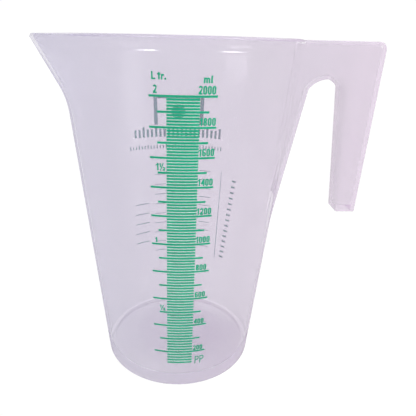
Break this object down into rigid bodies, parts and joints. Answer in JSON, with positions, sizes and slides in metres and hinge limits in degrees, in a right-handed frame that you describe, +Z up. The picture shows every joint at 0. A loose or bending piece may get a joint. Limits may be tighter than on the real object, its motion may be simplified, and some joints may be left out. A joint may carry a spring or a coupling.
{
  "type": "measuring jug",
  "caption": "Tapered translucent plastic measuring jug with a V-shaped pouring spout, a hollow handle open at its lower end and a printed millilitre and litre scale.",
  "frame": {"origin": "on the vessel's axis, in the plane of the foot ring", "axes": "+Z up along the vessel's axis, +X towards the handle, -X towards the spout; the printed scale faces -Y"},
  "size_m": [0.2079, 0.1434, 0.2156],
  "materials": {
    "polypropylene": "translucent, satin",
    "green_ink": "opaque screen print"
  },
  "bodies": {
    "root": {"jug_body": "polypropylene", "pouring_spout": "polypropylene", "handle": "polypropylene", "fine_graduations": "green_ink", "hundred_graduations": "green_ink", "double_graduations": "green_ink", "millilitre_numerals": "green_ink", "litre_numerals": "green_ink", "unit_labels": "green_ink", "material_mark": "green_ink", "back_panel_print": "green_ink"}
  },
  "joints": []
}
